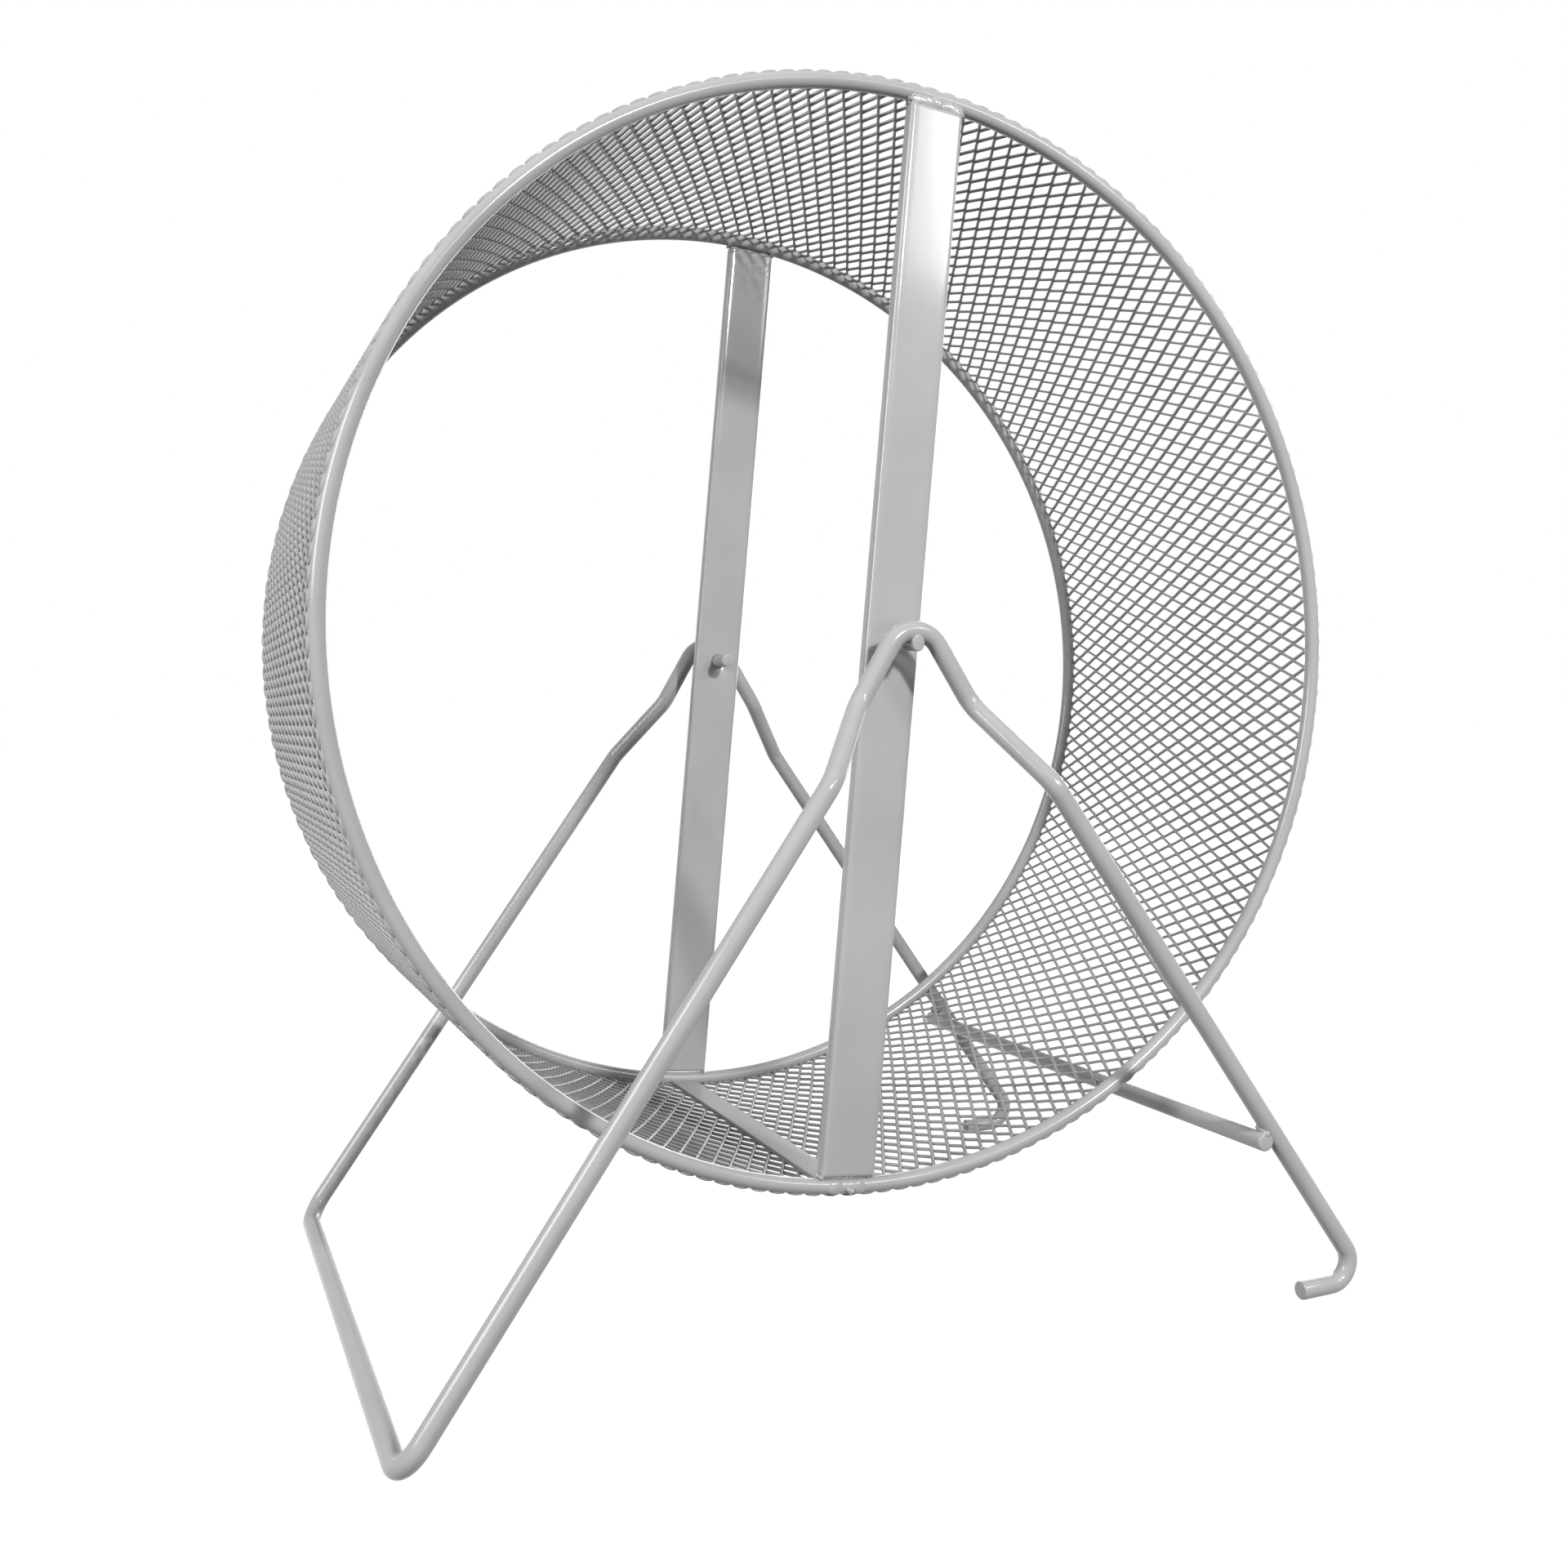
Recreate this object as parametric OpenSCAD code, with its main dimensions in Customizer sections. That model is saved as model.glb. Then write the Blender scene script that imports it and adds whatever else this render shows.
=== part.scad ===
// Free-standing exercise wheel for rodents, in millimetres.
// The axle runs along Y, the front is at -Y, and the floor is z = 0.

/* [Wheel] */
// Outside diameter over the wire rims
wheel_d = 282; // [240:1:330]
// Distance between the centres of the two rims
wheel_w = 127; // [100:1:160]
// Diameter of the rim wire
rim_wire_d = 4; // [3:0.1:5]
// Width of the flat crossbars
bar_w = 15; // [10:0.5:20]
// Thickness of the flat crossbars
bar_t = 4; // [3:0.1:6]
// Rounding of the long edges of the crossbars
bar_edge_r = 0.6; // [0.2:0.1:1.2]
// Size of the weld beads at the ends of the crossbars
bar_weld_d = 5; // [3:0.25:7]
// Lean of the crossbars from upright as the wheel comes to rest
rest_angle = 5.6; // [-20:0.1:20]

/* [Running track] */
// Thickness of the expanded metal
track_t = 0.8; // [0.5:0.1:1.5]
// How far the mesh reaches past the centres of the rims
track_lap = 0.5; // [0:0.1:1.5]
// Diamonds counted round the mesh, drawn three times as large as real ones
mesh_round = 58; // [36:1:64]
// Diamonds counted across the mesh
mesh_across = 4; // [2:1:5]
// Width of the strands between the diamonds
strand_w = 2.8; // [1.5:0.1:4]
// Width of the strip that covers the seam
strip_w = 10; // [6:0.5:16]
// Thickness of the seam strip
strip_t = 1.5; // [1:0.1:2.5]

/* [Axle pins] */
// Diameter of the pins
pin_d = 4; // [3:0.1:5]
// How far a pin stands past the inner face of its crossbar
pin_reach = 8.8; // [4:0.2:20]
// Size of the weld beads over the pins
pin_weld_d = 6; // [4:0.25:8]

/* [Stand] */
// Diameter of the stand wire
stand_wire_d = 5; // [4:0.1:6]
// Free height under the wheel
floor_gap = 35; // [15:1:60]
// Gap between a crossbar and the stand wire beside the axle
hub_gap = 8.6; // [4:0.2:20]
// How far the legs stand outside the bends that hold the pins
leg_step = 13.8; // [8:0.2:24]
// How far the axle sits behind the middle of the feet
axle_shift = 5.4; // [-8:0.1:8]
// Distance from the middle to the corner of a foot, along X
foot_x = 129.6; // [100:0.2:160]
// Half width of the stand where the wire starts to step outwards
shoulder_x = 16; // [13:0.5:22]
// Drop from the axle to that place
shoulder_drop = 15.4; // [11:0.2:20]
// Half width of the stand where the step ends
knee_x = 30.4; // [25:0.2:40]
// Drop from the axle to that place
knee_drop = 33; // [28:0.5:45]
// Radius of the bend over the pin, to the middle of the wire
apex_r = 8; // [6:0.25:9]
// Radius of the bends of the step
step_r = 9; // [6:0.5:12]
// Radius of the corners of the base bar
corner_r = 8; // [6:0.5:20]
// Radius of the hooks
hook_r = 6; // [5:0.25:9]
// Straight length at the end of a hook
hook_l = 11; // [5:0.5:25]
// Height above the floor at which the brace crosses the legs
brace_h = 48; // [30:1:80]
// How far the brace reaches past the middle of a leg
brace_lap = 1.8; // [0:0.1:2.5]
// Size of the weld beads of the brace
brace_weld_d = 6; // [4:0.25:8]

/* [Fits] */
// Radial clearance of a pin in its hole
pin_clearance = 0.1; // [0.05:0.01:0.1]
// Bevel at both mouths of the hole in a crossbar
hole_bevel = 0.5; // [0.2:0.1:0.9]
// Gap left between pieces that are welded or laid against each other
seat_gap = 0.02; // [0.01:0.01:0.05]
// Gap between the corners of a crossbar's end and its rim, filled by the weld
root_gap = 0.3; // [0.2:0.05:0.6]
// How much thinner the radius of a wire is drawn in its bends
bend_thinning = 0.02; // [0.01:0.01:0.05]

/* [Hidden] */
$fn = 96;
ring_fn = 240;
paint = "silver";
weld_paint = "darkgray";

// wheel
rim_r = wheel_d/2 - rim_wire_d/2;
rim_inner_r = rim_r - rim_wire_d/2;
track_inner_r = wheel_d/2 + seat_gap;
track_r = track_inner_r + track_t;
open_w = wheel_w - rim_wire_d;
long_pitch = open_w/mesh_across;
short_pitch = 2*PI*track_inner_r/mesh_round;
// share of each diamond that the strands round it leave open
open_share = 1 - strand_w*norm([long_pitch, short_pitch])/(long_pitch*short_pitch);
diamond_l = open_share*long_pitch;
diamond_w = open_share*short_pitch;
bar_half_l = sqrt(pow(rim_inner_r - root_gap, 2) - pow(bar_w/2, 2));
strip_r = sqrt(pow(track_inner_r - seat_gap, 2) - pow(strip_w/2, 2));
strip_l = wheel_w - rim_wire_d - 2*seat_gap;
hole_d = pin_d + 2*pin_clearance;

// stand
wire_r = stand_wire_d/2;
axle_h = floor_gap + track_r;
apex_y = wheel_w/2 + bar_t/2 + hub_gap + wire_r;
leg_y = apex_y + leg_step;
apex_rise = pin_d/2 + wire_r + seat_gap;
floor_z = wire_r - axle_h;
pin_inner_y = wheel_w/2 - bar_t/2 - pin_reach;
pin_l = apex_y + wire_r - pin_inner_y;

// The straight run from the shoulder touches the round bend over the pin.
// The two runs would meet at the point apex_top if the bend were sharp.
apex_centre_z = apex_rise - apex_r;
shoulder_dz = -shoulder_drop - apex_centre_z;
shoulder_dist = norm([shoulder_x, shoulder_dz]);
touch_angle = atan2(shoulder_dz, shoulder_x) + acos(apex_r/shoulder_dist);
apex_top = apex_centre_z + apex_r/sin(touch_angle);

// direction of a right-hand leg, down towards its foot
leg_dir = [foot_x - knee_x, 0, floor_z + knee_drop]/norm([foot_x - knee_x, floor_z + knee_drop]);
// the brace lies against the side of the legs that faces the wheel's underside
leg_side = [leg_dir[2], 0, -leg_dir[0]];
brace_drop = axle_h - brace_h;
brace_leg_x = knee_x + (brace_drop - knee_drop)*leg_dir[0]/-leg_dir[2];
brace_x = brace_leg_x + (stand_wire_d + seat_gap)*leg_side[0];
brace_z = -brace_drop + (stand_wire_d + seat_gap)*leg_side[2];

// tightest turn of a hook: how much of the corner its bend uses up
hook_turn = acos(-leg_dir[0]);
hook_corner = hook_r*tan(hook_turn/2);

// Corners of the wire on the front side, from the hook to the base bar.
// Heights are measured from the axle, and depths from the middle of the feet.
function side_corners(s) = [
    [foot_x - hook_corner - hook_l, s*leg_y, floor_z],
    [foot_x, s*leg_y, floor_z],
    [knee_x, s*leg_y, -knee_drop],
    [shoulder_x, s*apex_y + axle_shift, -shoulder_drop],
    [0, s*apex_y + axle_shift, apex_top],
    [-shoulder_x, s*apex_y + axle_shift, -shoulder_drop],
    [-knee_x, s*leg_y, -knee_drop],
    [-foot_x, s*leg_y, floor_z],
];
side_bends = [0, hook_r, step_r, step_r, apex_r, step_r, step_r, corner_r];
function reversed(list) = [for (i = [len(list) - 1:-1:0]) list[i]];
wire_corners = concat(side_corners(-1), reversed(side_corners(1)));
wire_bends = concat(side_bends, reversed(side_bends));

// a straight run reaches this far into the bend at its end
bend_lap = 0.2;

function unit(v) = v/norm(v);
// angle that the wire turns through at the corner b
function turn_at(a, b, c) = acos(max(-1, min(1, unit(b - a)*unit(c - b))));
// how much of each straight run the bend at corner i takes up
function bend_cut(points, bends, i) = bends[i] == 0 ? 0 :
    bends[i]*tan(turn_at(points[i - 1], points[i], points[i + 1])/2) - bend_lap;

// straight wire from a to b
module straight_wire(a, b, r) {
    d = b - a;
    translate(a)
        rotate([0, acos(d[2]/norm(d)), atan2(d[1], d[0])])
            cylinder(h = norm(d), r = r);
}

// round bend at the corner b of a wire that comes from a and goes on to c
module wire_bend(a, b, c, bend_r, r) {
    turn = turn_at(a, b, c);
    along = unit(b - a);
    pole = unit(cross(along, unit(c - b)));
    out = cross(along, pole);
    start = b - along*bend_r*tan(turn/2);
    centre = start - out*bend_r;
    multmatrix([
        [out[0], along[0], pole[0], centre[0]],
        [out[1], along[1], pole[1], centre[1]],
        [out[2], along[2], pole[2], centre[2]],
        [0, 0, 0, 1],
    ])
        rotate_extrude(angle = turn)
            translate([bend_r, 0])
                circle(r = r);
}

// round wire bent at its corners
module bent_wire(points, bends, r) {
    last = len(points) - 1;
    for (i = [0:last - 1]) {
        d = unit(points[i + 1] - points[i]);
        straight_wire(points[i] + d*bend_cut(points, bends, i),
            points[i + 1] - d*bend_cut(points, bends, i + 1), r);
    }
    for (i = [1:last - 1])
        wire_bend(points[i - 1], points[i], points[i + 1], bends[i], r - bend_thinning);
}

// places its children at the level of the axle, in the middle of the feet
module at_axle_height() {
    translate([0, 0, axle_h])
        children();
}

// places its children at the centre of the wheel, leaning as the wheel rests
module in_wheel() {
    translate([0, axle_shift, axle_h])
        rotate([0, rest_angle, 0])
            children();
}

module stand_path() {
    bent_wire(wire_corners, wire_bends, wire_r);
}

module brace_path(extra = 0) {
    reach = leg_y + brace_lap + extra;
    straight_wire([brace_x, -reach, brace_z], [brace_x, reach, brace_z], wire_r + extra);
}

module stand_wire() {
    color(paint)
        at_axle_height()
            stand_path();
}

module stand_brace() {
    color(paint)
        at_axle_height()
            brace_path();
}

// pin on the side s, from the outside of the stand wire to inside the drum
module axle_pin(s) {
    color(paint)
        translate([0, axle_shift + s*(pin_inner_y + pin_l/2), axle_h])
            rotate([90, 0, 0])
                cylinder(h = pin_l, d = pin_d, center = true);
}

module front_axle_pin() {
    axle_pin(-1);
}

module back_axle_pin() {
    axle_pin(1);
}

// weld bead in the fork between the pin and the bend of the wire above it
module pin_weld(s) {
    color(weld_paint)
        translate([0, axle_shift + s*apex_y, axle_h])
            difference() {
                translate([0, 0, pin_d/2])
                    sphere(d = pin_weld_d);
                rotate([90, 0, 0])
                    cylinder(h = 2*pin_weld_d, d = pin_d + 2*seat_gap, center = true);
                translate([0, 0, apex_centre_z])
                    rotate([90, 0, 0])
                        rotate_extrude()
                            translate([apex_r, 0])
                                circle(r = wire_r + seat_gap);
            }
}

module front_pin_weld() {
    pin_weld(-1);
}

module back_pin_weld() {
    pin_weld(1);
}

// weld beads where the brace crosses the legs
module brace_welds() {
    touch_x = (brace_leg_x + brace_x)/2;
    touch_z = (-brace_drop + brace_z)/2;
    color(weld_paint)
        at_axle_height()
            for (s = [-1, 1])
                difference() {
                    translate([touch_x, s*leg_y, touch_z])
                        sphere(d = brace_weld_d);
                    brace_path(extra = seat_gap);
                    straight_wire([knee_x, s*leg_y, -knee_drop], [foot_x, s*leg_y, floor_z],
                        wire_r + seat_gap);
                }
}

module rim_shape(extra = 0) {
    rotate([90, 0, 0])
        rotate_extrude($fn = ring_fn)
            translate([rim_r, 0])
                circle(d = rim_wire_d + 2*extra);
}

module rim(s) {
    color(paint)
        in_wheel()
            translate([0, s*wheel_w/2, 0])
                rim_shape();
}

module front_rim() {
    rim(-1);
}

module back_rim() {
    rim(1);
}

// cross-section of a flat bar with rounded edges
module bar_section() {
    flat_x = bar_w/2 - bar_edge_r;
    flat_y = bar_t/2 - bar_edge_r;
    square([bar_w, 2*flat_y], center = true);
    square([2*flat_x, bar_t], center = true);
    for (x = [-flat_x, flat_x], y = [-flat_y, flat_y])
        translate([x, y])
            circle(r = bar_edge_r);
}

// hole for the pin through a crossbar, bevelled at both mouths
module pin_hole() {
    past = 1;
    rotate([90, 0, 0]) {
        cylinder(h = bar_t + 2*past, d = hole_d, center = true);
        for (turned = [0, 180])
            rotate([turned, 0, 0])
                translate([0, 0, bar_t/2 - hole_bevel])
                    cylinder(h = hole_bevel + past, r1 = hole_d/2, r2 = hole_d/2 + hole_bevel + past);
    }
}

module crossbar(s) {
    color(paint)
        in_wheel()
            translate([0, s*wheel_w/2, 0])
                difference() {
                    linear_extrude(height = 2*bar_half_l, center = true)
                        bar_section();
                    pin_hole();
                }
}

module front_crossbar() {
    crossbar(-1);
}

module back_crossbar() {
    crossbar(1);
}

// weld beads in the four corners between a crossbar's ends and its rim
module crossbar_welds(s) {
    color(weld_paint)
        in_wheel()
            translate([0, s*wheel_w/2, 0])
                for (end = [-1, 1], side = [-1, 1])
                    difference() {
                        translate([side*bar_w/2, 0, end*bar_half_l])
                            sphere(d = bar_weld_d);
                        cube([bar_w, bar_t, 2*bar_half_l] + 2*seat_gap*[1, 1, 1], center = true);
                        rim_shape(extra = seat_gap);
                    }
}

module front_crossbar_welds() {
    crossbar_welds(-1);
}

module back_crossbar_welds() {
    crossbar_welds(1);
}

// opening between four strands, or half of one beside a rim
module diamond(around, along, lower = true, upper = true) {
    past = 1;
    rotate([0, -around, 0])
        translate([track_inner_r - past, along, 0])
            rotate([0, 90, 0])
                linear_extrude(height = track_t + 2*past)
                    polygon([[-diamond_w/2, 0], if (lower) [0, -diamond_l/2],
                        [diamond_w/2, 0], if (upper) [0, diamond_l/2]]);
}

// band of expanded metal round both rims
module running_track() {
    width = wheel_w + 2*track_lap;
    step = 360/mesh_round;
    color(paint)
        in_wheel()
            difference() {
                rotate([90, 0, 0])
                    cylinder(h = width, r = track_r, center = true, $fn = ring_fn);
                rotate([90, 0, 0])
                    cylinder(h = 2*width, r = track_inner_r, center = true, $fn = ring_fn);
                for (i = [0:mesh_round - 1]) {
                    for (j = [0:mesh_across - 1])
                        diamond(i*step, (j + 1/2)*long_pitch - open_w/2);
                    for (j = [0:mesh_across])
                        diamond((i + 1/2)*step, j*long_pitch - open_w/2,
                            lower = j > 0, upper = j < mesh_across);
                }
            }
}

// flat strip between the rims, inside the mesh at the bottom of the wheel
module seam_strip() {
    color(paint)
        in_wheel()
            translate([-strip_w/2, -strip_l/2, -strip_r])
                cube([strip_w, strip_l, strip_t]);
}

stand_wire();
stand_brace();
front_axle_pin();
back_axle_pin();
front_pin_weld();
back_pin_weld();
brace_welds();
front_rim();
back_rim();
front_crossbar();
back_crossbar();
front_crossbar_welds();
back_crossbar_welds();
running_track();
seam_strip();
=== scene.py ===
import math
import random

import bmesh
import bpy
from mathutils import Matrix, Vector, noise


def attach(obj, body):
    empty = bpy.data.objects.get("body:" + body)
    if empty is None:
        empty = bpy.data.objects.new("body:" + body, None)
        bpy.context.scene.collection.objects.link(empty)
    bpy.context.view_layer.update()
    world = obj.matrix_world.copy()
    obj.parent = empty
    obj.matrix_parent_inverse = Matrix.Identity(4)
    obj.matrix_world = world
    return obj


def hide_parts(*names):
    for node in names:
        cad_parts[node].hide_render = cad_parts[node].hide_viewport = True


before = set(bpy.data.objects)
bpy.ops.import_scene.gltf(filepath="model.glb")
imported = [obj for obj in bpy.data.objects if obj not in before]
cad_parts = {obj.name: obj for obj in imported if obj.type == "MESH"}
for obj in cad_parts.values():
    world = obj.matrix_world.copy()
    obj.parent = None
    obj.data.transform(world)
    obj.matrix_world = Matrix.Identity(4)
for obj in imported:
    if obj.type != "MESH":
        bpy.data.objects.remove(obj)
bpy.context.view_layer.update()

MM = 0.001

# Sizes in millimetres, as the part's source has them. The axle runs along Y.
AXLE_HEIGHT = 176.82
AXLE_SHIFT = 5.4
REST_ANGLE = math.radians(5.6)
RIM_SPACING = 127.0
RIM_RADIUS = 139.0
RIM_WIRE = 4.0
BAR_WIDTH = 15.0
BAR_THICKNESS = 4.0
BAR_HALF_LENGTH = 136.49
HOLE_DIAMETER = 4.2
HOLE_BEVEL = 0.5
STRIP_LENGTH = 122.96
PIN_DIAMETER = 4.0
PIN_INNER_END = 52.7
PIN_LENGTH = 26.4
STAND_WIRE = 5.0
FLOOR_LEVEL = STAND_WIRE / 2 - AXLE_HEIGHT
APEX_Y = 76.6
APEX_RISE = 4.52
LEG_Y = 90.4
SHOULDER_X = 16.0
SHOULDER_DROP = 15.4
KNEE_X = 30.4
KNEE_DROP = 33.0
FOOT_X = 129.6
HOOK_END_X = 107.06
APEX_BEND = 8.0
STEP_BEND = 9.0
CORNER_BEND = 8.0
HOOK_BEND = 6.0
BRACE_X = 93.6
BRACE_HEIGHT = 45.1
BRACE_REACH = 92.2

# Sizes of what is drawn finer than in the solids: softer edges, a slimmer strip, a drooping and pinched pin.
BAR_EDGE = 1.1
STRIP_WIDTH = 8.5
STRIP_THICKNESS = 1.2
STRIP_RADIUS = 140.5
STRIP_EDGE = 0.2
PIN_DROOP = {-1: 0.045, 1: 0.0}
PINCH_LENGTH = 2.4
PINCH = (0.84, 1, 1.06)

# Expanded metal: a sheet slit in short rows and pulled open into diamonds.
MESH_RADIUS = 140.8
DIAMONDS_ROUND = 176
PANEL_DIAMONDS = 88
DIAMONDS_ACROSS = 12.43
LONG_PITCH = RIM_SPACING / DIAMONDS_ACROSS
BOND_LENGTH = 0.8
STRAND_WIDTH = 0.68
SHEET_THICKNESS = 0.8
STRAND_TILT = math.radians(31)
MESH_HALF_WIDTH = 64.0
MESH_PHASE = -63.86

FLOOR_PLACE = Matrix.Identity(4)
STAND_PLACE = Matrix.Translation((0, 0, AXLE_HEIGHT))
PIN_PLACE = Matrix.Translation((0, AXLE_SHIFT, AXLE_HEIGHT))
WHEEL_PLACE = PIN_PLACE @ Matrix.Rotation(REST_ANGLE, 4, "Y")

scene = bpy.context.scene


# Camera

def aim_camera():
    """Stands the camera where the photograph was taken from."""
    place = Vector((-0.17406, -0.39918, 0.15768))
    right = Vector((0.90876, -0.41728, -0.00565))
    down = Vector((-0.0229, -0.03635, -0.99908))
    forward = Vector((0.41669, 0.90805, -0.04259))
    data = bpy.data.cameras.new("photo_camera")
    data.sensor_width = 36
    data.lens = 34.339
    data.shift_x = -0.02823
    data.shift_y = -0.00112
    data.clip_start = 0.01
    data.clip_end = 50
    camera = bpy.data.objects.new("photo_camera", data)
    turn = Matrix((right, -down, -forward)).transposed().to_4x4()
    camera.matrix_world = Matrix.Translation(place) @ turn
    scene.collection.objects.link(camera)
    scene.camera = camera


aim_camera()


# Materials

# How far apart the paint's film changes, how fine its flakes are, and how much they show beside the film.
FILM_MM = 25
FLAKE_MM = 0.35
FLAKE_SHARE = 0.12


def hex_colour(code):
    """sRGB hex to linear RGBA."""
    parts = [int(code[i:i + 2], 16) / 255 for i in (0, 2, 4)]
    linear = [c / 12.92 if c <= 0.04045 else ((c + 0.055) / 1.055) ** 2.4 for c in parts]
    return (*linear, 1.0)


def add_node(tree, kind, settings=None, links=None):
    """Adds a node, sets its properties or sockets, and links its inputs."""
    node = tree.nodes.new(kind)
    for key, value in (settings or {}).items():
        if isinstance(key, str) and hasattr(node, key):
            setattr(node, key, value)
        else:
            node.inputs[key].default_value = value
    for key, source in (links or {}).items():
        tree.links.new(source, node.inputs[key])
    return node


def new_material(name):
    """An empty material and its node tree."""
    material = bpy.data.materials.new(name)
    material.use_nodes = True
    material.node_tree.nodes.clear()
    return material, material.node_tree


def painted_steel(name, light, dark, peel_mm=1.6, peel_depth_mm=0.006, roughness=(0.08, 0.16),
                  lump_mm=0.0, lump_depth_mm=0.0, ior=1.5, shine=0.5):
    """Silver-grey powder coat on steel."""
    material, tree = new_material(name)
    place = add_node(tree, "ShaderNodeTexCoord").outputs["Object"]
    # slow change of film thickness
    film = add_node(tree, "ShaderNodeTexNoise", {"Scale": 1 / (FILM_MM * MM), "Detail": 2.0},
                    {"Vector": place})
    # fine flake in the paint
    flake = add_node(tree, "ShaderNodeTexNoise", {"Scale": 1 / (FLAKE_MM * MM), "Detail": 1.0},
                     {"Vector": place})
    tone = add_node(tree, "ShaderNodeMath", {"operation": "MULTIPLY_ADD", 1: FLAKE_SHARE},
                    {0: flake.outputs["Fac"], 2: film.outputs["Fac"]})
    colour = add_node(tree, "ShaderNodeValToRGB", {}, {"Fac": tone.outputs["Value"]})
    thin, thick = colour.color_ramp.elements
    thin.position = 0.0
    thin.color = hex_colour(dark)
    thick.position = 1.0
    thick.color = hex_colour(light)
    gloss = add_node(tree, "ShaderNodeMapRange", {"To Min": roughness[0], "To Max": roughness[1]},
                     {"Value": film.outputs["Fac"]})
    # orange peel of a cured powder film
    peel = add_node(tree, "ShaderNodeTexNoise", {"Scale": 1 / (peel_mm * MM), "Detail": 1.5},
                    {"Vector": place})
    bump = add_node(tree, "ShaderNodeBump", {"Strength": 1.0, "Distance": peel_depth_mm * MM},
                    {"Height": peel.outputs["Fac"]})
    if lump_mm:
        lumps = add_node(tree, "ShaderNodeTexNoise", {"Scale": 1 / (lump_mm * MM), "Detail": 2.0},
                         {"Vector": place})
        bump = add_node(tree, "ShaderNodeBump", {"Strength": 1.0, "Distance": lump_depth_mm * MM},
                        {"Height": lumps.outputs["Fac"], "Normal": bump.outputs["Normal"]})
    shader = add_node(tree, "ShaderNodeBsdfPrincipled",
                      {"IOR": ior, "Specular IOR Level": shine, "Metallic": 0.0},
                      {"Base Color": colour.outputs["Color"], "Roughness": gloss.outputs["Result"],
                       "Normal": bump.outputs["Normal"]})
    add_node(tree, "ShaderNodeOutputMaterial", {}, {"Surface": shader.outputs["BSDF"]})
    return material


# Powder-coated steel wire: smooth glossy grey film, with a crisp line of light along it.
POWDERED_WIRE = painted_steel("powder_coated_wire", "C3C2C2", "AFAEAE", peel_depth_mm=0.003,
                              roughness=(0.12, 0.2), ior=1.43)
# Powder-coated flat bar: the same film on rolled steel, flat enough to show orange peel.
POWDERED_BAR = painted_steel("powder_coated_bar", "C2C0C0", "AFADAD", peel_mm=2.0, peel_depth_mm=0.01)
# Powder-coated expanded metal: the film is thin and duller on the sheared strands, so they glint less. The
# seam strip wears it too, where this darker, duller paint is painted shade.
POWDERED_MESH = painted_steel("powder_coated_expanded_metal", "C0BFBF", "ACABAB", roughness=(0.25, 0.4),
                              ior=1.3, shine=0.3)
# Powder-coated weld bead: lumpy steel under the same film, with small glints.
POWDERED_WELD = painted_steel("powder_coated_weld_bead", "C3C2C2", "AFAEAE", roughness=(0.1, 0.2),
                              lump_mm=1.4, lump_depth_mm=0.06)


# Making pieces

FLAT_BORDER = 0.15
CORNER_ANGLE = 1.0
WIRE_SIDES = 28
DEGREES_PER_STEP = 6
LUMP_RADII = (0.45, 0.62)
RIPPLE_FINENESS = 0.9


def verts_in(geom):
    """The vertices among what an operator returned."""
    return [g for g in geom if isinstance(g, bmesh.types.BMVert)]


def all_of(bm):
    """Every vertex, edge and face."""
    return bm.verts[:] + bm.edges[:] + bm.faces[:]


def ring_of(verts):
    """The edges that run between the given vertices."""
    chosen = set(verts)
    return list({e for v in verts for e in v.link_edges if e.other_vert(v) in chosen})


def corner_edges(bm):
    """Edges where two faces meet in a corner and not in a curve."""
    return [e for e in bm.edges if len(e.link_faces) == 2 and e.calc_face_angle(0) > CORNER_ANGLE]


def hold_flat(bm, smallest):
    """Rings each big flat face with a narrow border, so that an edge's soft shading stays at the edge."""
    flat = [f for f in bm.faces if f.calc_area() > smallest]
    bmesh.ops.inset_region(bm, faces=flat, thickness=FLAT_BORDER, depth=0)


def add_object(name, bm):
    """Puts the worked mesh into the scene as an object at the origin."""
    mesh = bpy.data.meshes.new(name)
    bm.to_mesh(mesh)
    bm.free()
    added = bpy.data.objects.new(name, mesh)
    scene.collection.objects.link(added)
    return added


def make_piece(name, bm, body, material, nodes, place, sharp_degrees=35, face_out=True):
    """Turns millimetres round the part's own centre into a finished piece in the row frame."""
    if face_out:
        bmesh.ops.recalc_face_normals(bm, faces=bm.faces)
    bmesh.ops.transform(bm, matrix=Matrix.Scale(MM, 4) @ place, verts=bm.verts)
    piece = add_object(name, bm)
    piece.data.shade_smooth()
    piece.data.set_sharp_from_angle(angle=math.radians(sharp_degrees))
    piece.data.materials.append(material)
    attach(piece, body)
    if nodes:
        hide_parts(*nodes)
    return piece


def feed_wire(bm, ring, run):
    """Pushes the end of a wire forward in a straight run and returns its new end."""
    verts = verts_in(bmesh.ops.extrude_edge_only(bm, edges=ring)["geom"])
    bmesh.ops.translate(bm, verts=verts, vec=run)
    return ring_of(verts)


def turn_wire(bm, ring, centre, axis, angle):
    """Bends the end of a wire round a former and returns its new end."""
    steps = max(2, round(math.degrees(angle) / DEGREES_PER_STEP))
    geom = list({v for e in ring for v in e.verts}) + ring
    last = bmesh.ops.spin(bm, geom=geom, cent=centre, axis=axis, angle=angle, steps=steps,
                          use_merge=False, use_duplicate=False)["geom_last"]
    return [g for g in last if isinstance(g, bmesh.types.BMEdge)]


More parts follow.
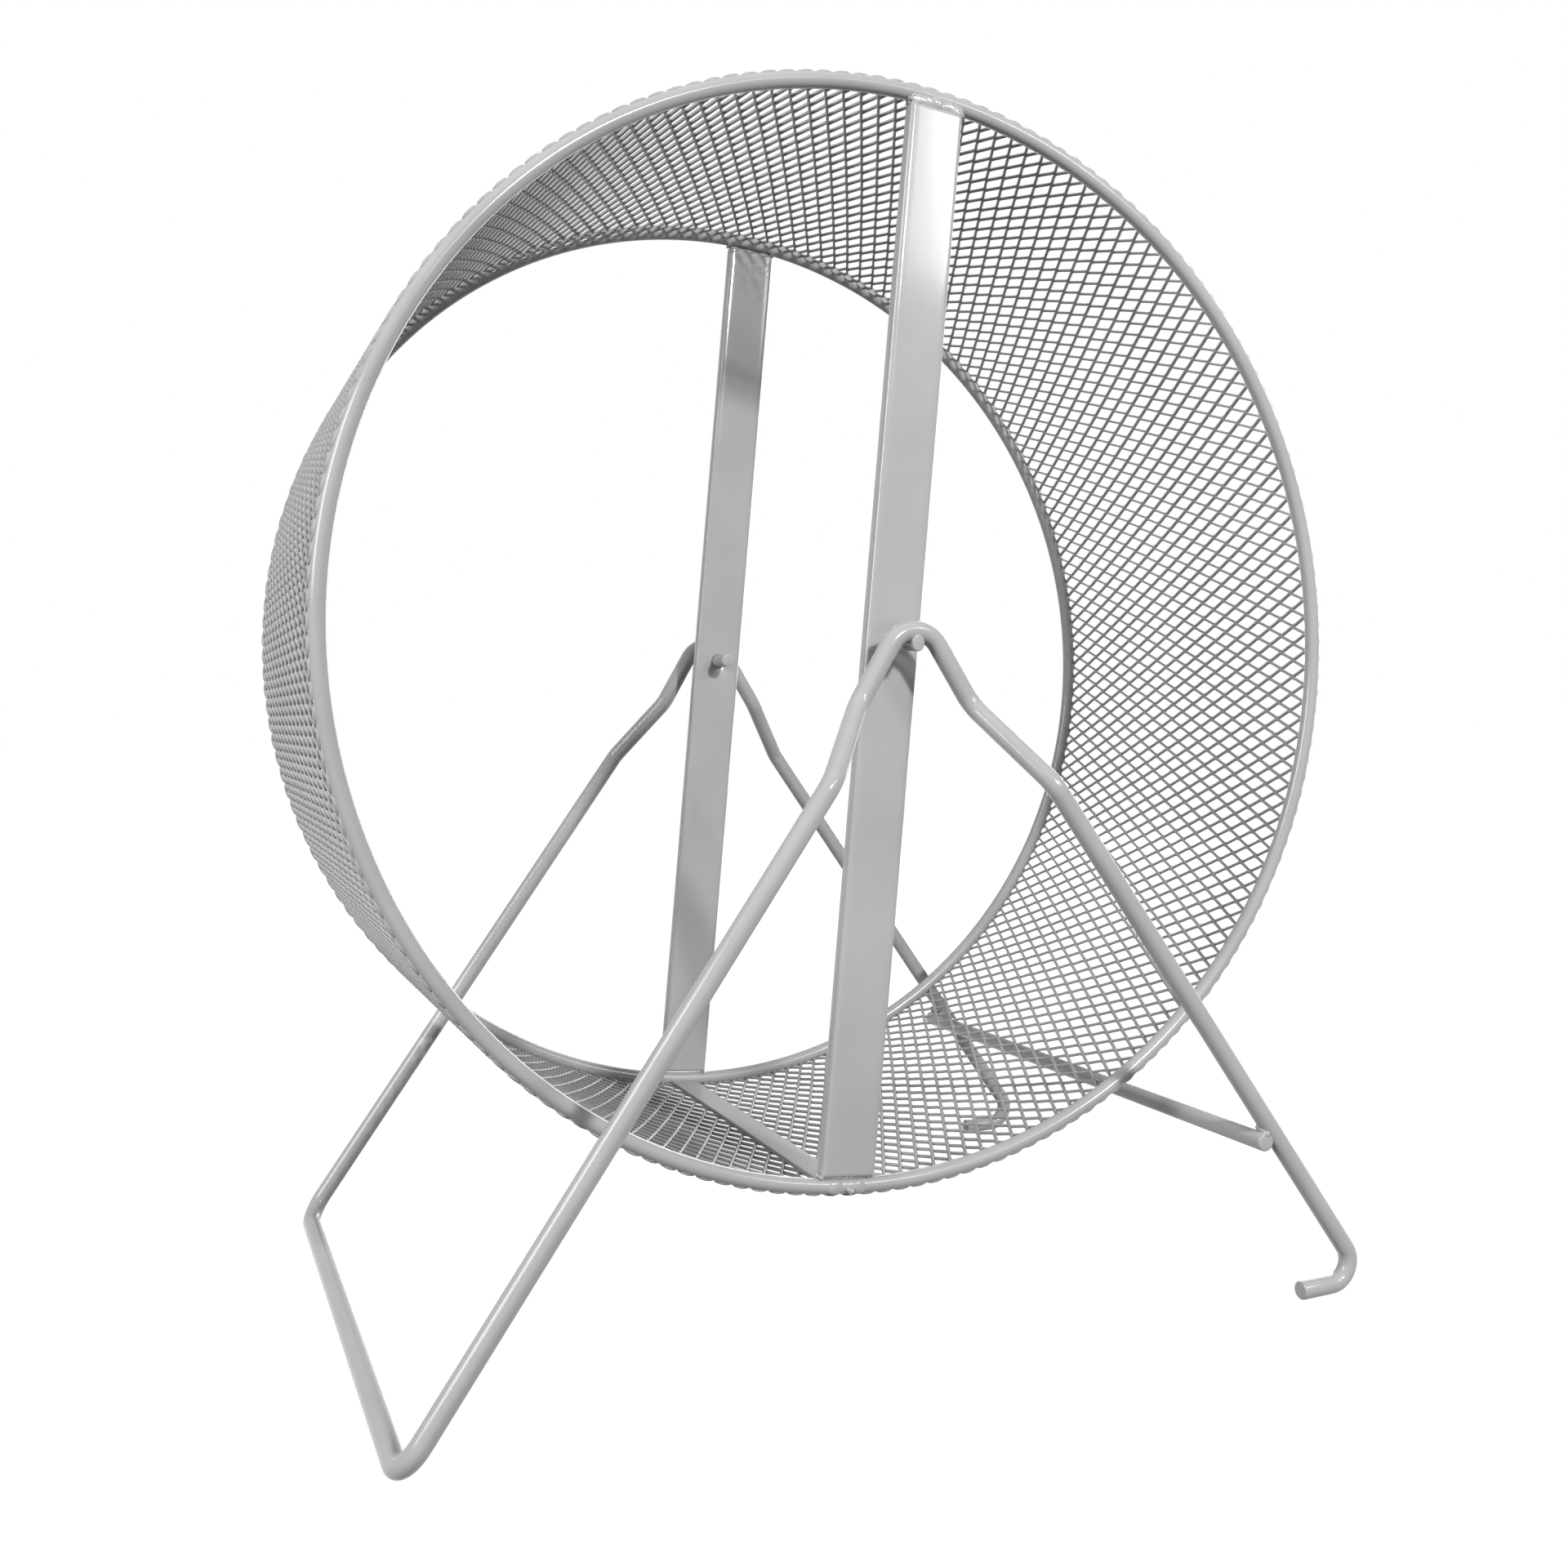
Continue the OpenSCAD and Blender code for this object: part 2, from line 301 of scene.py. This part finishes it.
def bent_wire(corners, bends, diameter, end_round=0.5):
    """Round wire fed out and bent at each corner, with slightly rounded cut ends."""
    bm = bmesh.new()
    corners = [Vector(c) for c in corners]
    heading = (corners[1] - corners[0]).normalized()
    start = Matrix.Translation(corners[0]) @ heading.to_track_quat("Z", "Y").to_matrix().to_4x4()
    bmesh.ops.create_circle(bm, cap_ends=True, radius=diameter / 2, segments=WIRE_SIDES, matrix=start)
    first = ring = list(bm.edges)
    at = corners[0]
    for before, corner, after, bend in zip(corners, corners[1:], corners[2:], bends[1:]):
        heading = (corner - before).normalized()
        new_heading = (after - corner).normalized()
        turn = heading.angle(new_heading)
        axis = heading.cross(new_heading).normalized()
        bend_start = corner - heading * bend * math.tan(turn / 2)
        ring = feed_wire(bm, ring, bend_start - at)
        ring = turn_wire(bm, ring, bend_start + axis.cross(heading) * bend, axis, turn)
        at = corner + new_heading * bend * math.tan(turn / 2)
    ring = feed_wire(bm, ring, corners[-1] - at)
    bmesh.ops.edgeloop_fill(bm, edges=ring)
    bmesh.ops.bevel(bm, geom=first + ring, affect="EDGES", offset=end_round, segments=3, profile=0.5,
                    material=-1)
    return bm


def weld_bead(bm, centre, size, seed, lumps=5, spread=0.45, ripple=0.28):
    """A bead of weld metal: a few lumps run together, with a rippled skin."""
    rnd = random.Random(seed)
    middle = Vector(centre)
    for _ in range(lumps):
        offset = Vector([rnd.uniform(-1, 1) * spread * s / 2 for s in size])
        radii = [s / 2 * rnd.uniform(*LUMP_RADII) for s in size]
        place = Matrix.Translation(middle + offset) @ Matrix.Diagonal((*radii, 1))
        lump = bmesh.ops.create_icosphere(bm, subdivisions=3, radius=1.0, matrix=place)
        for v in lump["verts"]:
            swell = noise.noise(v.co * RIPPLE_FINENESS + Vector((seed, 0, 0)))
            v.co += (v.co - middle).normalized() * swell * ripple


# Stand

SIDE_BENDS = [0, HOOK_BEND, STEP_BEND, STEP_BEND, APEX_BEND, STEP_BEND, STEP_BEND, CORNER_BEND]
# How far each corner lies from its drawn place along X and Z, in front (-1) and behind (1).
BENT_OFF = {-1: [(0, 0), (0, 0), (-2.1, -2.4), (0.2, -0.5), (-0.2, -3.1), (0.4, -0.7), (-0.8, -0.6), (0, 0)],
            1: [(0, 0), (0, 0), (-0.5, 0.9), (2.4, 1.3), (1.8, 0.7), (2.0, 1.8), (1.9, 1.8), (0, 0)]}
PIN_END_ROUND = 0.3
PIN_BEAD_Z = 2.6
PIN_BEAD = (5.2, 5.0, 3.2)
# Each bead between brace and leg: its place along X and Z, its size and its seed.
BRACE_BEADS = [((95.6, 46.6), (5.4, 5.4, 5.4), 9),
               ((94.7, 48.0), (4.4, 5.6, 4.0), 12)]


def sharp_apex():
    """Height at which the two runs over the pin would meet if the bend were sharp."""
    centre = APEX_RISE - APEX_BEND
    drop = -SHOULDER_DROP - centre
    touch = math.atan2(drop, SHOULDER_X) + math.acos(APEX_BEND / math.hypot(SHOULDER_X, drop))
    return centre + APEX_BEND / math.sin(touch)


def stand_corners(s):
    """Corners of the stand wire on one side, from hook to base bar, each a little off as bent by hand."""
    leg_y = s * LEG_Y
    arch_y = s * APEX_Y + AXLE_SHIFT
    corners = [(HOOK_END_X, leg_y, FLOOR_LEVEL), (FOOT_X, leg_y, FLOOR_LEVEL), (KNEE_X, leg_y, -KNEE_DROP),
               (SHOULDER_X, arch_y, -SHOULDER_DROP), (0.0, arch_y, sharp_apex()),
               (-SHOULDER_X, arch_y, -SHOULDER_DROP), (-KNEE_X, leg_y, -KNEE_DROP),
               (-FOOT_X, leg_y, FLOOR_LEVEL)]
    return [(x + dx, y, z + dz) for (x, y, z), (dx, dz) in zip(corners, BENT_OFF[s])]


def build_stand():
    """One wire bent from hook to hook, and the straight brace under two of its legs."""
    wire = bent_wire(stand_corners(-1) + stand_corners(1)[::-1], SIDE_BENDS + SIDE_BENDS[::-1], STAND_WIRE)
    make_piece("bent_stand_wire", wire, "stand", POWDERED_WIRE, ["stand_wire"], STAND_PLACE)
    ends = [(BRACE_X, y, BRACE_HEIGHT) for y in (-BRACE_REACH, BRACE_REACH)]
    brace = bent_wire(ends, [0, 0], STAND_WIRE)
    make_piece("leg_brace_wire", brace, "stand", POWDERED_WIRE, ["stand_brace"], FLOOR_PLACE)


def build_pin(name, s):
    """A cropped pin, and the bead that holds it under the arch."""
    inner = s * PIN_INNER_END
    outer = s * (PIN_INNER_END + PIN_LENGTH)
    ends = [(0, y, PIN_DROOP[s] * (RIM_SPACING / 2 - abs(y))) for y in (inner, outer)]
    pin = bent_wire(ends, [0, 0], PIN_DIAMETER, end_round=PIN_END_ROUND)
    # the cropper leaves the outer end pinched
    bmesh.ops.bisect_plane(pin, geom=all_of(pin), plane_co=(0, outer - s * PINCH_LENGTH, 0),
                           plane_no=(0, 1, 0))
    tip = [v for v in pin.verts if abs(v.co.y) > abs(outer) - 2 * PIN_END_ROUND]
    bmesh.ops.scale(pin, vec=PINCH, space=Matrix.Translation((0, 0, -ends[1][2])), verts=tip)
    make_piece(f"{name}_pin", pin, "stand", POWDERED_WIRE, [f"{name}_axle_pin"], PIN_PLACE)
    bead = bmesh.new()
    weld_bead(bead, (0, s * APEX_Y, PIN_BEAD_Z), PIN_BEAD, 3 + s)
    make_piece(f"{name}_pin_bead", bead, "stand", POWDERED_WELD, [f"{name}_pin_weld"],
               PIN_PLACE)


def build_brace_beads():
    """Beads where the brace crosses the legs."""
    beads = bmesh.new()
    for s in (-1, 1):
        for (x, z), size, seed in BRACE_BEADS:
            weld_bead(beads, (x, s * LEG_Y, z), size, seed + s)
    make_piece("brace_beads", beads, "stand", POWDERED_WELD, ["brace_welds"], FLOOR_PLACE)


# Wheel

# Weld at a crossbar's ends. A size runs across the bar, through it and along it.
SMEAR_LUMPS = 6
SMEAR_STEP = 2.1
SMEAR_CENTRE = 2.3
SMEAR_SUNK = 0.6
SMEAR_RISE = 0.7
SMEAR = (9.0, 2.7, 7.6)
SPATTER_PLACES = ((-6.6, 0.9), (-5.2, -0.4), (5.9, 0.2))
SPATTER = (2.4, 1.8, 2.2)
PAD_PLACES_AND_WIDTHS = ((-3.4, 9.5), (3.2, 8.0))
PAD_SUNK = 0.5
PAD_DEPTH = 2.8
PAD_HEIGHT = 6.4
FOOT_BEAD_X = 0.6
FOOT_BEAD_PROUD = 0.3
FOOT_BEAD_DROP = 0.8
FOOT_BEAD = (3.0, 2.8, 2.8)
CORNER_BEAD = (2.6, 4.0, 2.4)
CORNER_BEAD_RISE = 0.2

# Where a strand of the mesh bends, as a share of its length, and how far it still leans there.
STRAND_BEND = 0.2
BEND_LEAN = 0.62
# Two strands that lean at each other by more than this are joined.
TOUCHING = 0.99
# How far the strands waver round the drum, and how fast.
WAVER = 0.06
WAVER_FINENESS = 0.12
# The small welds on the rims: half their size outwards, along the axle and round the rim.
FILLET = (0.55, 1.0, 2.3)
FILLET_OUT = 0.15
FILLET_IN = 0.1
FILLET_SWELL = 0.12
FILLET_FINENESS = 0.25


def build_rim(name, s):
    """A ring of round wire, welded shut."""
    bm = bmesh.new()
    start = Matrix.Translation((RIM_RADIUS, s * RIM_SPACING / 2, 0))
    bmesh.ops.create_circle(bm, radius=RIM_WIRE / 2, segments=24, matrix=start)
    bmesh.ops.spin(bm, geom=all_of(bm), cent=(0, 0, 0), axis=(0, 1, 0), angle=2 * math.pi,
                   steps=240, use_merge=True, use_duplicate=False)
    bmesh.ops.remove_doubles(bm, verts=bm.verts, dist=0.0005)
    make_piece(f"{name}_rim_wire", bm, "wheel", POWDERED_WIRE, [f"{name}_rim"], WHEEL_PLACE)


def build_crossbar(name, s):
    """Flat bar with a drilled hole: the hole's ring grows to a square, and the square to a bar."""
    bm = bmesh.new()
    upright = Matrix.Rotation(math.pi / 2, 4, "X")
    bmesh.ops.create_circle(bm, radius=HOLE_DIAMETER / 2, segments=32, matrix=upright)
    half = BAR_WIDTH / 2
    square = verts_in(bmesh.ops.extrude_edge_only(bm, edges=bm.edges[:])["geom"])
    for v in square:
        v.co *= half / max(abs(v.co.x), abs(v.co.z))
    for end in (-1, 1):
        edge = ring_of([v for v in square if abs(v.co.z - end * half) < 0.01])
        far = verts_in(bmesh.ops.extrude_edge_only(bm, edges=edge)["geom"])
        bmesh.ops.translate(bm, verts=far, vec=(0, 0, end * (BAR_HALF_LENGTH - half)))
    back = verts_in(bmesh.ops.extrude_face_region(bm, geom=bm.faces[:])["geom"])
    bmesh.ops.translate(bm, verts=back, vec=(0, BAR_THICKNESS, 0))
    bmesh.ops.translate(bm, verts=bm.verts, vec=(0, s * RIM_SPACING / 2 - BAR_THICKNESS / 2, 0))
    bmesh.ops.recalc_face_normals(bm, faces=bm.faces)
    corners = corner_edges(bm)
    hole = [e for e in corners if all(v.co.xz.length < HOLE_DIAMETER / 2 + 0.1 for v in e.verts)]
    outer = [e for e in corners if e not in set(hole)]
    bmesh.ops.bevel(bm, geom=hole, affect="EDGES", offset=HOLE_BEVEL, segments=2, profile=0.5, material=-1)
    outer = [e for e in outer if e.is_valid]
    bmesh.ops.bevel(bm, geom=outer, affect="EDGES", offset=BAR_EDGE, segments=4, profile=0.5, material=-1)
    hold_flat(bm, smallest=20)
    make_piece(f"{name}_flat_bar", bm, "wheel", POWDERED_BAR, [f"{name}_crossbar"],
               WHEEL_PLACE)


def build_bar_beads(name, s):
    """Weld at a crossbar's ends: smeared over the top, in two flat pads at the foot, and in the corners."""
    bm = bmesh.new()
    face = s * (RIM_SPACING + BAR_THICKNESS) / 2
    for n in range(SMEAR_LUMPS):
        at = ((n - SMEAR_CENTRE) * SMEAR_STEP, face - s * SMEAR_SUNK, BAR_HALF_LENGTH + SMEAR_RISE)
        weld_bead(bm, at, SMEAR, 20 + n + 7 * s, lumps=1, spread=0.1)
    for x, rise in SPATTER_PLACES:
        at = (x, face - s * PAD_SUNK, BAR_HALF_LENGTH + rise)
        weld_bead(bm, at, SPATTER, 30 + s, lumps=1, spread=0.3)
    for x, width in PAD_PLACES_AND_WIDTHS:
        at = (x, face - s * PAD_SUNK, -RIM_RADIUS)
        weld_bead(bm, at, (width, PAD_DEPTH, PAD_HEIGHT), 40 + s, lumps=1, spread=0, ripple=0.1)
    at = (FOOT_BEAD_X, face + s * FOOT_BEAD_PROUD, -RIM_RADIUS - FOOT_BEAD_DROP)
    weld_bead(bm, at, FOOT_BEAD, 60 + s, lumps=2, spread=0.3)
    for side in (-1, 1):
        for end in (-1, 1):
            at = (side * BAR_WIDTH / 2, s * RIM_SPACING / 2, end * (BAR_HALF_LENGTH + CORNER_BEAD_RISE))
            weld_bead(bm, at, CORNER_BEAD, 70 + side + 3 * end + 7 * s, lumps=3)
    make_piece(f"{name}_bar_beads", bm, "wheel", POWDERED_WELD, [f"{name}_crossbar_welds"],
               WHEEL_PLACE)


def mesh_stations():
    """Places along the axle where the strands are drawn, each with how far the strands lean there."""
    half_pitch = LONG_PITCH / 2
    strand = half_pitch - BOND_LENGTH
    drawn = []
    n = -1
    bond = MESH_PHASE + n * half_pitch
    while bond - BOND_LENGTH / 2 <= MESH_HALF_WIDTH:
        side = 1 if n % 2 == 0 else -1
        bond_end = bond + BOND_LENGTH / 2
        drawn += [(bond - BOND_LENGTH / 2, side), (bond_end, side),
                  (bond_end + STRAND_BEND * strand, side * BEND_LEAN),
                  (bond_end + (1 - STRAND_BEND) * strand, -side * BEND_LEAN)]
        n += 1
        bond = MESH_PHASE + n * half_pitch
    # the sheet is cut off at both rims
    kept = []
    for (a, lean_a), (b, lean_b) in zip(drawn, drawn[1:]):
        low = max(a, -MESH_HALF_WIDTH)
        high = min(b, MESH_HALF_WIDTH)
        if low < high:
            for y in (high,) if kept else (low, high):
                kept.append((y, lean_a + (lean_b - lean_a) * (y - a) / (b - a)))
    return kept


def slit_sheet(stations):
    """Two strands of flat sheet, slit apart between bonds, and each corner's station, strand and edge."""
    last = len(stations) - 1
    bm = bmesh.new()
    bmesh.ops.create_grid(bm, x_segments=last, y_segments=2, size=1.0)

    def station(v):
        """Which station a corner stands at."""
        return round((v.co.x + 1) / 2 * last)

    between = [e for e in bm.edges if all(abs(v.co.y) < 0.1 for v in e.verts)]
    slits = [e for e in between if any(stations[station(v)][1] <= TOUCHING for v in e.verts)]
    bmesh.ops.split_edges(bm, edges=slits)
    corners = {}
    for v in bm.verts:
        strand = 0 if any(f.calc_center_median().y < 0 for f in v.link_faces) else 1
        edge = 1 if v.co.y > strand - 0.5 else -1
        corners[v] = (station(v), strand, edge)
    return bm, corners


def pull_open(corners, stations):
    """Moves each corner to its place on the drum, where the strands lean apart and lie tilted."""
    row_step = math.pi * MESH_RADIUS / DIAMONDS_ROUND
    across = STRAND_WIDTH / 2 * math.cos(STRAND_TILT)
    rise = STRAND_WIDTH / 2 * math.sin(STRAND_TILT)
    for v, (n, strand, edge) in corners.items():
        y, lean = stations[n]
        if strand == 1:
            lean = -lean
        angle = (strand * row_step + lean * (row_step / 2 - across) + edge * across) / MESH_RADIUS
        radius = MESH_RADIUS + (edge - lean) * rise
        v.co = (radius * math.cos(angle), y, radius * math.sin(angle))


def build_mesh_panel(name, first, count):
    """Part of the expanded metal: one short pitch is slit and pulled open, then repeated round the drum."""
    stations = mesh_stations()
    bm, corners = slit_sheet(stations)
    pull_open(corners, stations)
    step = 2 * math.pi / DIAMONDS_ROUND
    bmesh.ops.rotate(bm, verts=bm.verts, cent=(0, 0, 0), matrix=Matrix.Rotation(-first * step, 3, "Y"))
    bmesh.ops.spin(bm, geom=all_of(bm), cent=(0, 0, 0), axis=(0, -1, 0), angle=step * (count - 1),
                   steps=count - 1, use_merge=False, use_duplicate=True)
    bmesh.ops.remove_doubles(bm, verts=bm.verts, dist=0.004)
    for v in bm.verts:
        around = Vector((-v.co.z, 0, v.co.x)).normalized()
        v.co += around * noise.noise(v.co * WAVER_FINENESS) * WAVER
    bm.normal_update()
    outward = sum(f.normal.xz.dot(f.calc_center_median().xz) for f in bm.faces)
    if outward < 0:
        bmesh.ops.reverse_faces(bm, faces=bm.faces)
    piece = make_piece(name, bm, "wheel", POWDERED_MESH, ["running_track"], WHEEL_PLACE,
                       sharp_degrees=40, face_out=False)
    wall = piece.modifiers.new("sheet_thickness", "SOLIDIFY")
    wall.thickness = SHEET_THICKNESS * MM
    wall.offset = 0
    wall.use_even_offset = True


def build_edge_fillets(name, s):
    """Small welds, rounded off by the powder, where each bond at the sheet's edge lies on the rim."""
    bm = bmesh.new()
    pitch = 2 * math.pi / DIAMONDS_ROUND
    turn = Matrix.Rotation(s * pitch / 4, 4, "Y")
    place = turn @ Matrix.Translation((MESH_RADIUS + FILLET_OUT, s * (RIM_SPACING / 2 - FILLET_IN), 0))
    bmesh.ops.create_icosphere(bm, subdivisions=2, radius=1.0, matrix=place @ Matrix.Diagonal((*FILLET, 1)))
    bmesh.ops.spin(bm, geom=all_of(bm), cent=(0, 0, 0), axis=(0, -1, 0), angle=2 * math.pi - pitch,
                   steps=DIAMONDS_ROUND - 1, use_merge=False, use_duplicate=True)
    for v in bm.verts:
        outward = Vector((v.co.x, 0, v.co.z)).normalized()
        v.co += outward * noise.noise(v.co * FILLET_FINENESS) * FILLET_SWELL
    make_piece(f"{name}_edge_fillets", bm, "wheel", POWDERED_MESH, None, WHEEL_PLACE)


def build_strip():
    """Flat strip over the joint of the mesh, with rounded edges."""
    bm = bmesh.new()
    bmesh.ops.create_grid(bm, x_segments=4, y_segments=24, size=1.0,
                          matrix=Matrix.Diagonal((STRIP_WIDTH / 2, STRIP_LENGTH / 2, 1, 1)))
    top = verts_in(bmesh.ops.extrude_face_region(bm, geom=bm.faces[:])["geom"])
    bmesh.ops.translate(bm, verts=top, vec=(0, 0, STRIP_THICKNESS))
    bmesh.ops.translate(bm, verts=bm.verts, vec=(0, 0, -STRIP_RADIUS))
    bmesh.ops.recalc_face_normals(bm, faces=bm.faces)
    bmesh.ops.bevel(bm, geom=corner_edges(bm), affect="EDGES", offset=STRIP_EDGE, segments=2, profile=0.5,
                    material=-1)
    hold_flat(bm, smallest=4)
    # painted shade: the strip takes the mesh's darker, duller paint instead of the bar's, to stand in for the
    # shadow it lies in
    make_piece("mesh_seam_strip", bm, "wheel", POWDERED_MESH, ["seam_strip"], WHEEL_PLACE)


SIDES = (("front", -1), ("back", 1))
build_stand()
for side_name, side in SIDES:
    build_pin(side_name, side)
build_brace_beads()
for side_name, side in SIDES:
    build_rim(side_name, side)
    build_crossbar(side_name, side)
    build_bar_beads(side_name, side)
    build_edge_fillets(side_name, side)
for panel in range(DIAMONDS_ROUND // PANEL_DIAMONDS):
    build_mesh_panel(f"expanded_metal_{panel + 1}", panel * PANEL_DIAMONDS, PANEL_DIAMONDS)
build_strip()


# Stage and light, in metres and watts

FLOOR_RADIUS = 6.0
ROOM_LIGHT = 0.05
WHITE = (1, 1, 1, 1)


def directly_seen(tree):
    """1 on a ray that the eye follows, by mirror or through glass too, and 0 on the light that is shed."""
    path = add_node(tree, "ShaderNodeLightPath")
    seen = path.outputs["Is Camera Ray"]
    for ray in ("Is Glossy Ray", "Is Transmission Ray"):
        either = add_node(tree, "ShaderNodeMath", {"operation": "MAXIMUM"}, {0: seen, 1: path.outputs[ray]})
        seen = either.outputs["Value"]
    return seen


def build_floor():
    """Plain pale floor: white to the eye and in reflections, a dull grey in the light that it throws back."""
    bm = bmesh.new()
    bmesh.ops.create_circle(bm, cap_ends=True, radius=FLOOR_RADIUS, segments=64)
    floor = add_object("studio_floor", bm)
    material, tree = new_material("white_studio_floor")
    seen = directly_seen(tree)
    place = add_node(tree, "ShaderNodeTexCoord").outputs["Object"]
    away = add_node(tree, "ShaderNodeVectorMath", {"operation": "LENGTH"}, {0: place})
    # the glow rises to full white a metre away, so that the floor meets the backdrop unseen
    rise = add_node(tree, "ShaderNodeMapRange",
                    {"From Min": 0.3, "From Max": 1.2, "To Min": 0.94, "To Max": 1.0},
                    {"Value": away.outputs["Value"]})
    glow = add_node(tree, "ShaderNodeEmission", {"Color": WHITE}, {"Strength": rise.outputs["Result"]})
    paper = add_node(tree, "ShaderNodeBsdfDiffuse", {"Color": hex_colour("8A8A8A")})
    white = add_node(tree, "ShaderNodeAddShader", {}, {0: glow.outputs["Emission"], 1: paper.outputs["BSDF"]})
    bounce = add_node(tree, "ShaderNodeBsdfDiffuse", {"Color": hex_colour("484644")})
    mix = add_node(tree, "ShaderNodeMixShader", {},
                   {0: seen, 1: bounce.outputs["BSDF"], 2: white.outputs["Shader"]})
    add_node(tree, "ShaderNodeOutputMaterial", {}, {"Surface": mix.outputs["Shader"]})
    floor.data.materials.append(material)


def build_world():
    """White behind the object, and a dim grey room for the light that falls on it."""
    world = bpy.data.worlds.new("studio")
    scene.world = world
    world.use_nodes = True
    tree = world.node_tree
    tree.nodes.clear()
    seen = directly_seen(tree)
    room = add_node(tree, "ShaderNodeBackground", {"Color": WHITE, "Strength": ROOM_LIGHT})
    white = add_node(tree, "ShaderNodeBackground", {"Color": WHITE, "Strength": 1.0})
    mix = add_node(tree, "ShaderNodeMixShader", {},
                   {0: seen, 1: room.outputs["Background"], 2: white.outputs["Background"]})
    add_node(tree, "ShaderNodeOutputWorld", {}, {"Surface": mix.outputs["Shader"]})


def add_softbox(name, direction, distance, size, watts):
    """A square softbox that faces the middle of the wheel."""
    data = bpy.data.lights.new(name, "AREA")
    data.shape = "SQUARE"
    data.size = size
    data.energy = watts
    lamp = bpy.data.objects.new(name, data)
    way = Vector(direction).normalized()
    lamp.location = Vector((0, 0, AXLE_HEIGHT * MM)) + way * distance
    lamp.rotation_mode = "QUATERNION"
    lamp.rotation_quaternion = way.to_track_quat("Z", "Y")
    scene.collection.objects.link(lamp)


build_floor()
build_world()
add_softbox("key_lamp", (0.2, -1.0, 0.45), distance=1.3, size=0.1, watts=10.5)
add_softbox("window_softbox", (0.48, -0.743, 0.408), distance=0.974, size=0.16, watts=1.5)
add_softbox("window_edge_softbox", (0.371, -0.826, 0.418), distance=1.0, size=0.14, watts=0.2)
add_softbox("left_softbox", (-1.0, -0.25, 0.4), distance=1.3, size=0.6, watts=12)
add_softbox("back_softbox", (1.0, 1.0, 0.3), distance=1.6, size=1.0, watts=12)

scene.view_settings.view_transform = "Standard"
